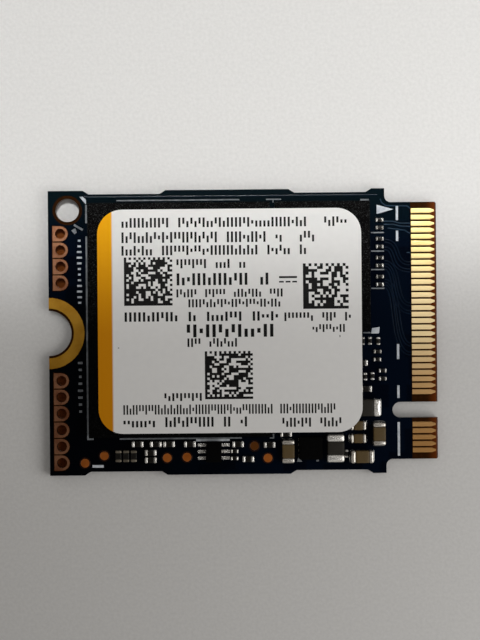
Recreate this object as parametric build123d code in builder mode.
"""A gumstick solid state drive: a short single-sided card, 22 mm wide and 30 mm long.

The card lies flat. X runs from the half-round screw notch to the card edge connector, Y runs across the card,
and Z is up through the parts. The origin is at the middle of the underside. All sizes are in millimetres.
"""

import os

from build123d import *

# Strips along the card, from the screw notch to the connector: their sum is the card's length of 30 mm
notch_strip = 3.13
flash_length = 14.0
package_gap = 0.37
controller_length = 7.3
coupling_strip = 1.2
tongue_length = 4.0
board_length = notch_strip + flash_length + package_gap + controller_length + coupling_strip + tongue_length

# Strips across the card, from the lower long edge: their sum is the card's width of 22 mm
lower_strip = 2.97
flash_width = 18.0
upper_strip = 1.03
board_width = lower_strip + flash_width + upper_strip
controller_clearance = 0.48
controller_width = 9.97

# Thickness of the card, and of the solder mask and the copper in its openings on both faces
board_thickness = 0.8
mask_thickness = 0.03
mask_clearance = 0.06

# Small round features repeat many times, so each is drawn with flat sides: pads and plated holes, and balls
pad_sides = 16
ball_sides = 6

# Connector tongue, with its shoulders and the key slot off its middle
shoulder_step = 1.075
tongue_width = board_width - 2 * shoulder_step
shoulder_radius = 0.5
tongue_corner = 0.1
lead_in = 0.12
key_slot_from_corner = 3.8
key_slot_width = 1.2
key_slot_depth = 3.5
mask_end = 2.0

# Contacts of the connector: rows that fill the tongue, half a pitch apart on its two faces, open at the key
contact_pitch = 0.5
top_contact_margin = 0.675
bottom_contact_margin = 0.925
key_clearance = 0.4
contact_width = 0.38
contact_length = 1.78
contact_setback = 0.17
contact_tip = 0.2
contact_tip_width = 0.16

# Shallow reliefs in the long edges, left between the tabs that held the card in its panel
relief_length = 6.4
relief_depth = 0.28
relief_ramp = 0.45
corner_tab = 2.7
shoulder_tab = 1.0

# Screw notch and its bare contact ring
notch_diameter = 3.5
ring_diameter = 5.5
ring_rim = 0.18

# Tooling hole near the upper corner, clear of solder mask all round
tooling_diameter = 1.8
tooling_from_end = 1.5
tooling_from_edge = 1.5
tooling_halo = 0.25

# Plated holes of the test header, with D-shaped pads on the top face and closed by the mask on the underside
header_pitch = 1.27
header_pad = 1.17
header_hole = 0.8
header_plating = 0.05
header_from_end = 0.93
header_from_tooling = 1.8
header_from_edge = 0.98
header_to_ring = 0.3

# Chip packages: solder balls, substrate and moulded cap, both of one height so that the label lies flat
ball_height = 0.22
ball_diameter = 0.42
substrate_thickness = 0.18
mould_thickness = 0.75
flash_ball_pitch = 1.0
flash_ball_margin = 1.0
controller_ball_pitch = 0.8
controller_ball_margin = 0.5

# Label over both packages
label_length = 20.2
label_width = 17.15
label_thickness = 0.1
label_radius = 1.9
label_from_flash_end = 0.77
label_from_flash_edge = 0.31

# Round test pads, by distance from the notch end and from the lower edge
test_pad_diameter = 0.8
test_pad_places = [(2.71, 0.95), (4.2, 1.51), (9.06, 1.31), (10.59, 1.35), (15.81, 2.17), (16.85, 1.23)]

# Large ceramic capacitors: length, width and height of the large and the middle size, and their metal ends
large_capacitor = (1.74, 0.95, 0.85)
middle_capacitor = (1.2, 0.71, 0.6)
large_end = 0.36
middle_end = 0.26
end_proud = 0.015
end_bevel = 0.07

# Power inductors
inductor = (2.1, 1.31, 0.95)
inductor_end = 0.56
inductor_bevel = 0.12

# Places of those parts from the notch end and the lower edge, and their turn in degrees
large_capacitor_places = [(18.41, 1.78, 90), (25.43, 3.06, 90), (24.1, 1.31, 0)]
middle_capacitor_places = [(23.81, 2.7, 0), (23.82, 3.7, 0)]
inductor_places = [(22.06, 2.0, 90), (24.49, 5.08, 0)]

# Solder that climbs the ends of those parts, as a share of their height
solder_reach = 0.1
solder_climb = 0.4

# Chip resistors and capacitors: length, width, height and metal end of the two small sizes
chip = (0.9, 0.46, 0.35)
chip_end = 0.22
small_chip = (0.6, 0.3, 0.3)
small_chip_end = 0.16

# A bank of three upright chips, and the single chips of the lower strip
bank_start = (5.31, 1.48)
bank_count = 3
bank_gap = 0.13
strip_chip_places = [
    (6.8, 2.4, 0),
    (8.2, 2.39, 0),
    (9.22, 2.38, 0),
    (10.83, 2.37, 0),
    (7.8, 1.73, 0),
    (7.8, 1.16, 0),
    (14.54, 2.33, 0),
    (15.33, 1.17, 0),
    (16.98, 2.27, 0),
]
beside_flash_place = (1.12, 3.1, 0)
strip_small_places = [(14.27, 1.79, 0), (14.26, 1.24, 0), (22.9, 1.53, 90)]

# Chips beside the controller, from its connector-side edge and from the lower edge of the card
side_chip_places = [(-0.65, 8.52, 0), (-0.35, 6.51, 0)]
side_small_places = [
    (-0.01, 10.22, 90),
    (0.63, 10.2, 90),
    (-0.57, 10.21, 90),
    (0.16, 7.5, 90),
    (-0.4, 7.46, 90),
    (0.57, 9.39, 0),
    (0.54, 8.78, 0),
    (0.95, 7.91, 0),
    (0.95, 7.3, 0),
]

# Four pairs of coupling capacitors on the way to the connector
coupling_pairs = 4
coupling_pair_pitch = 1.46
coupling_gap = 0.3
coupling_from_controller = 0.8
coupling_from_top = 1.42

# Power chip, a flat leadless square, and its terminals
power_chip = (1.8, 1.75, 0.6)
power_chip_place = (20.14, 2.01)
power_terminal = (0.3, 0.22, 0.06)
power_terminal_pitch = 0.42
power_terminals_a_side = 4
power_terminal_proud = 0.03

# Six-lead switch chip
switch_chip = (1.2, 1.6, 0.45)
switch_chip_place = (12.66, 1.78)
switch_lead = (0.78, 0.24, 0.12)
switch_lead_pitch = 0.5
switch_lead_span = 2.44
switch_leads_a_side = 3

# Edges and levels that follow from these sizes
notch_end = -board_length / 2
connector_end = board_length / 2
lower_edge = -board_width / 2
upper_edge = board_width / 2
shoulder = connector_end - tongue_length
key_slot_centre = key_slot_from_corner - tongue_width / 2
core_top = board_thickness - mask_thickness
board_top = board_thickness
flash_centre = (notch_end + notch_strip + flash_length / 2, lower_edge + lower_strip + flash_width / 2)
flash_end = flash_centre[0] + flash_length / 2
flash_top_edge = flash_centre[1] + flash_width / 2
controller_end = flash_end + package_gap + controller_length
side_chips_top = max(y for x, y, turn in side_small_places) + small_chip[0] / 2
controller_low = lower_edge + side_chips_top + controller_clearance
controller_centre = (controller_end - controller_length / 2, controller_low + controller_width / 2)
substrate_level = board_top + ball_height
mould_level = substrate_level + substrate_thickness
label_level = mould_level + mould_thickness

os.makedirs("parts", exist_ok=True)


def save(piece, name):
    """Name a finished piece and write it as its own file."""
    piece.part.label = name
    export_step(piece.part, f"parts/{name}.step")


def on_card(places, start=notch_end):
    """Turn distances from the lower edge, and from an end of the card or a package, into places on the card."""
    return [(start + x, lower_edge + y, turn) for x, y, turn in places]


def header_places(first, side):
    """Places of a row of header holes, from its outer end in towards the ring round the screw notch."""
    room = first - ring_diameter / 2 - header_to_ring - header_pad / 2
    count = int(room // header_pitch) + 1
    return [(notch_end + header_from_end, side * (first - i * header_pitch)) for i in range(count)]


test_pads_at = [(notch_end + x, lower_edge + y) for x, y in test_pad_places]
tooling_at = (notch_end + tooling_from_end, upper_edge - tooling_from_edge)
upper_header = header_places(tooling_at[1] - header_from_tooling, 1)
lower_header = header_places(upper_edge - header_from_edge, -1)


def draw_relief(start):
    """A shallow trapezium cut into both long edges, open at the edge."""
    floor = upper_edge - relief_depth
    for side in (1, -1):
        with BuildLine() as relief:
            Polyline(
                (start, side * upper_edge),
                (start + relief_ramp, side * floor),
                (start + relief_length - relief_ramp, side * floor),
                (start + relief_length, side * upper_edge),
                close=True,
            )
        make_face(relief.edges(), mode=Mode.SUBTRACT)


def draw_card():
    """The card's outline with its tongue, key slot, edge reliefs, screw notch and tooling hole."""
    half_tongue = tongue_width / 2
    with BuildLine() as outline:
        Polyline(
            (notch_end, lower_edge),
            (shoulder, lower_edge),
            (shoulder, -half_tongue),
            (connector_end - tongue_corner, -half_tongue),
            (connector_end, tongue_corner - half_tongue),
            (connector_end, half_tongue - tongue_corner),
            (connector_end - tongue_corner, half_tongue),
            (shoulder, half_tongue),
            (shoulder, upper_edge),
            (notch_end, upper_edge),
            close=True,
        )
    make_face(outline.edges())
    draw_relief(notch_end + corner_tab)
    draw_relief(shoulder - shoulder_tab - relief_length)
    with Locations((notch_end, 0)):
        Circle(notch_diameter / 2, mode=Mode.SUBTRACT)
    with Locations((connector_end, key_slot_centre)):
        SlotOverall(2 * key_slot_depth, key_slot_width, mode=Mode.SUBTRACT)
    with Locations(tooling_at):
        Circle(tooling_diameter / 2, mode=Mode.SUBTRACT)


def draw_header_holes(places, margin, mode):
    """The round holes of the test header, or their plated walls."""
    with Locations(*places):
        RegularPolygon(header_hole / 2 + margin, pad_sides, mode=mode)


def draw_header_pads(places, margin, mode):
    """D-shaped pads: square towards the card's end, round on the other side."""
    radius = header_pad / 2 + margin
    with Locations(*places):
        RegularPolygon(radius, pad_sides, mode=mode)
        Rectangle(radius, 2 * radius, align=(Align.MAX, Align.CENTER), mode=mode)


def round_shoulders(sketch):
    """Round the two inner corners where the tongue leaves the card."""
    for side in (1, -1):
        corner = sketch.vertices().sort_by_distance((shoulder, side * tongue_width / 2))[0]
        fillet(corner, shoulder_radius)


# The card: laminate with solder mask on both faces, open where copper or bare laminate shows
with BuildPart() as circuit_board:
    with BuildSketch(Plane.XY.offset(mask_thickness)) as core:
        draw_card()
        draw_header_holes([*upper_header, *lower_header], header_plating, Mode.SUBTRACT)
        round_shoulders(core)
    extrude(amount=board_thickness - 2 * mask_thickness)
    end_edges = circuit_board.edges().filter_by(Axis.Y).group_by(Axis.X)[-1]
    chamfer(end_edges, lead_in)
    for level in (core_top, 0):
        with BuildSketch(Plane.XY.offset(level)) as mask:
            draw_card()
            round_shoulders(mask)
            with Locations((connector_end, 0)):
                Rectangle(2 * mask_end, board_width, mode=Mode.SUBTRACT)
            with Locations((notch_end, 0)):
                Circle(ring_diameter / 2 + mask_clearance, mode=Mode.SUBTRACT)
            with Locations(tooling_at):
                Circle(tooling_diameter / 2 + tooling_halo, mode=Mode.SUBTRACT)
            if level == core_top:
                draw_header_pads([*upper_header, *lower_header], mask_clearance, Mode.SUBTRACT)
                with Locations(*test_pads_at):
                    RegularPolygon(test_pad_diameter / 2 + mask_clearance, pad_sides, mode=Mode.SUBTRACT)
        extrude(amount=mask_thickness)
save(circuit_board, "circuit_board")


def contact_rows(margin):
    """Y places of one face's contacts: a row across the tongue that leaves the key slot free."""
    first = tongue_width / 2 - margin
    count = int(2 * first // contact_pitch) + 1
    row = [first - i * contact_pitch for i in range(count)]
    return [y for y in row if abs(y - key_slot_centre) > key_slot_width / 2 + key_clearance]


def make_contacts(name, level, margin):
    """Gold contacts with square inner ends and narrowed tips, lying on the bare laminate."""
    tip = connector_end - contact_setback
    with BuildPart() as contacts:
        with BuildSketch(Plane.XY.offset(level)):
            for y in contact_rows(margin):
                with BuildLine():
                    Polyline(
                        (tip - contact_length, y - contact_width / 2),
                        (tip - contact_tip, y - contact_width / 2),
                        (tip, y - contact_tip_width / 2),
                        (tip, y + contact_tip_width / 2),
                        (tip - contact_tip, y + contact_width / 2),
                        (tip - contact_length, y + contact_width / 2),
                        close=True,
                    )
                make_face()
        extrude(amount=mask_thickness)
    save(contacts, name)


make_contacts("edge_contacts_top", core_top, top_contact_margin)
make_contacts("edge_contacts_bottom", 0, bottom_contact_margin)


def make_ring(name, level):
    """The half ring of bare copper around the screw notch on one face."""
    with BuildPart() as ring:
        with BuildSketch(Plane.XY.offset(level)):
            with Locations((notch_end, 0)):
                Circle(ring_diameter / 2)
                Circle(notch_diameter / 2 + ring_rim, mode=Mode.SUBTRACT)
                Rectangle(ring_diameter, ring_diameter, align=(Align.MAX, Align.CENTER), mode=Mode.SUBTRACT)
        extrude(amount=mask_thickness)
    save(ring, name)


make_ring("mount_ring_top", core_top)
make_ring("mount_ring_bottom", 0)


def make_header(name, places):
    """Plated holes: a D-shaped pad on the top face and a copper barrel down to the mask that closes it below."""
    with BuildPart() as header:
        with BuildSketch(Plane.XY.offset(core_top)):
            draw_header_pads(places, 0, Mode.ADD)
        extrude(amount=mask_thickness)
        with BuildSketch(Plane.XY.offset(mask_thickness)):
            draw_header_holes(places, header_plating, Mode.ADD)
        extrude(amount=board_thickness - mask_thickness)
        with BuildSketch(Plane.XY.offset(mask_thickness)):
            draw_header_holes(places, 0, Mode.ADD)
        extrude(amount=board_thickness, mode=Mode.SUBTRACT)
    save(header, name)


make_header("plated_holes_upper", upper_header)
make_header("plated_holes_lower", lower_header)

with BuildPart() as test_pads:
    with BuildSketch(Plane.XY.offset(core_top)):
        with Locations(*test_pads_at):
            RegularPolygon(test_pad_diameter / 2, pad_sides)
    extrude(amount=mask_thickness)
save(test_pads, "test_pads")


def ring_of_balls(length, width, pitch, margin):
    """Places of the outer ring of a ball grid, about the package's middle."""
    columns = int((length - 2 * margin) // pitch) + 1
    rows = int((width - 2 * margin) // pitch) + 1
    xs = [(i - (columns - 1) / 2) * pitch for i in range(columns)]
    ys = [(i - (rows - 1) / 2) * pitch for i in range(rows)]
    long_rows = [(x, y) for x in xs for y in (ys[0], ys[-1])]
    short_rows = [(x, y) for x in (xs[0], xs[-1]) for y in ys[1:-1]]
    return long_rows + short_rows


def make_package(name, centre, length, width, pitch, margin):
    """A moulded package: solder balls, the substrate they carry, and the black cap on it."""
    with BuildPart() as balls:
        with BuildSketch(Plane.XY.offset(board_top)):
            for x, y in ring_of_balls(length, width, pitch, margin):
                with Locations((centre[0] + x, centre[1] + y)):
                    RegularPolygon(ball_diameter / 2, ball_sides)
        extrude(amount=ball_height)
    save(balls, f"{name}_solder_balls")
    layers = (("substrate", substrate_level, substrate_thickness), ("mould", mould_level, mould_thickness))
    for layer, level, thickness in layers:
        with BuildPart() as slab:
            with BuildSketch(Plane.XY.offset(level)):
                with Locations(centre):
                    Rectangle(length, width)
            extrude(amount=thickness)
        save(slab, f"{name}_{layer}")


make_package("flash", flash_centre, flash_length, flash_width, flash_ball_pitch, flash_ball_margin)
make_package(
    "controller",
    controller_centre,
    controller_length,
    controller_width,
    controller_ball_pitch,
    controller_ball_margin,
)

# The label lies on both packages and reaches over the parts below the controller
label_centre = (
    notch_end + notch_strip + label_from_flash_end + label_length / 2,
    lower_edge + lower_strip + label_from_flash_edge + label_width / 2,
)
with BuildPart() as label:
    with BuildSketch(Plane.XY.offset(label_level)):
        with Locations(label_centre):
            RectangleRounded(label_length, label_width, label_radius)
    extrude(amount=label_thickness)
save(label, "label")


def make_chips(name, places, sizes, end, bevel=0):
    """Chip parts that lie between two metal ends: bodies in one piece list, ends in another."""
    length, width, height = sizes
    body_length = length - 2 * end
    with BuildPart() as bodies:
        for x, y, turn in places:
            with Locations(Location((x, y, board_top + height / 2), (0, 0, turn))):
                Box(body_length, width - 2 * end_proud, height - 2 * end_proud)
    save(bodies, f"{name}_body" if len(places) == 1 else f"{name}_bodies")
    with BuildPart() as ends:
        for x, y, turn in places:
            with Locations(Location((x, y, board_top + height / 2), (0, 0, turn))):
                with Locations(((length - end) / 2, 0, 0), ((end - length) / 2, 0, 0)):
                    Box(end, width, height)
        if bevel:
            base, standing, crown = ends.edges().group_by(Axis.Z)
            chamfer(standing + crown, bevel)
    save(ends, f"{name}_ends")


for i, place in enumerate(on_card(large_capacitor_places), start=1):
    make_chips(f"large_capacitor_{i}", [place], large_capacitor, large_end, end_bevel)
for i, place in enumerate(on_card(middle_capacitor_places), start=1):
    make_chips(f"middle_capacitor_{i}", [place], middle_capacitor, middle_end, end_bevel)
for i, place in enumerate(on_card(inductor_places), start=1):
    make_chips(f"inductor_{i}", [place], inductor, inductor_end, inductor_bevel)

bank_pitch = chip[1] + bank_gap
bank_places = [(bank_start[0] + i * bank_pitch, bank_start[1], 90) for i in range(bank_count)]
make_chips("resistor_bank", on_card(bank_places), chip, chip_end)
strip_chips = on_card(strip_chip_places) + on_card([beside_flash_place], flash_end)
make_chips("strip_chip", strip_chips, chip, chip_end)
make_chips("strip_small_chip", on_card(strip_small_places), small_chip, small_chip_end)
make_chips("side_chip", on_card(side_chip_places, controller_end), chip, chip_end)
make_chips("side_small_chip", on_card(side_small_places, controller_end), small_chip, small_chip_end)

coupling_places = []
for pair in range(coupling_pairs):
    for one in range(2):
        drop = coupling_from_top + pair * coupling_pair_pitch + one * (small_chip[1] + coupling_gap)
        coupling_places.append((controller_end + coupling_from_controller, flash_top_edge - drop, 0))
make_chips("coupling_capacitor", coupling_places, small_chip, small_chip_end)

# Solder at both ends of each large part: a wedge that climbs the metal end
with BuildPart() as solder_joints:
    large_parts = [(p, large_capacitor) for p in on_card(large_capacitor_places)]
    large_parts += [(p, middle_capacitor) for p in on_card(middle_capacitor_places)]
    large_parts += [(p, inductor) for p in on_card(inductor_places)]
    for (x, y, turn), (length, width, height) in large_parts:
        for side in (0, 180):
            frame = Plane((x, y, board_top)).rotated((0, 0, turn + side))
            corner = frame.origin + frame.y_dir * (width / 2)
            wall = Plane(origin=corner, x_dir=frame.x_dir, z_dir=-frame.y_dir)
            with BuildSketch(wall):
                with BuildLine():
                    Polyline(
                        (length / 2, 0),
                        (length / 2 + solder_reach, 0),
                        (length / 2, solder_climb * height),
                        close=True,
                    )
                make_face()
            extrude(amount=width)
save(solder_joints, "solder_joints")

# Power chip: a moulded square on flat terminals along two sides
power_x = notch_end + power_chip_place[0]
power_y = lower_edge + power_chip_place[1]
with BuildPart() as power_chip_body:
    with BuildSketch(Plane.XY.offset(board_top + power_terminal[2])):
        with Locations((power_x, power_y)):
            Rectangle(power_chip[0], power_chip[1])
    extrude(amount=power_chip[2])
save(power_chip_body, "power_chip_body")

with BuildPart() as power_chip_terminals:
    with BuildSketch(Plane.XY.offset(board_top)):
        reach = power_chip[0] + 2 * power_terminal_proud - power_terminal[0]
        with Locations((power_x, power_y)):
            with GridLocations(reach, power_terminal_pitch, 2, power_terminals_a_side):
                Rectangle(power_terminal[0], power_terminal[1])
    extrude(amount=power_terminal[2])
save(power_chip_terminals, "power_chip_terminals")

# Switch chip: a moulded body on six flat leads
switch_x = notch_end + switch_chip_place[0]
switch_y = lower_edge + switch_chip_place[1]
with BuildPart() as switch_chip_body:
    with BuildSketch(Plane.XY.offset(board_top + switch_lead[2])):
        with Locations((switch_x, switch_y)):
            Rectangle(switch_chip[0], switch_chip[1])
    extrude(amount=switch_chip[2])
save(switch_chip_body, "switch_chip_body")

with BuildPart() as switch_chip_leads:
    with BuildSketch(Plane.XY.offset(board_top)):
        with Locations((switch_x, switch_y)):
            with GridLocations(switch_lead_span - switch_lead[0], switch_lead_pitch, 2, switch_leads_a_side):
                Rectangle(switch_lead[0], switch_lead[1])
    extrude(amount=switch_lead[2])
save(switch_chip_leads, "switch_chip_leads")
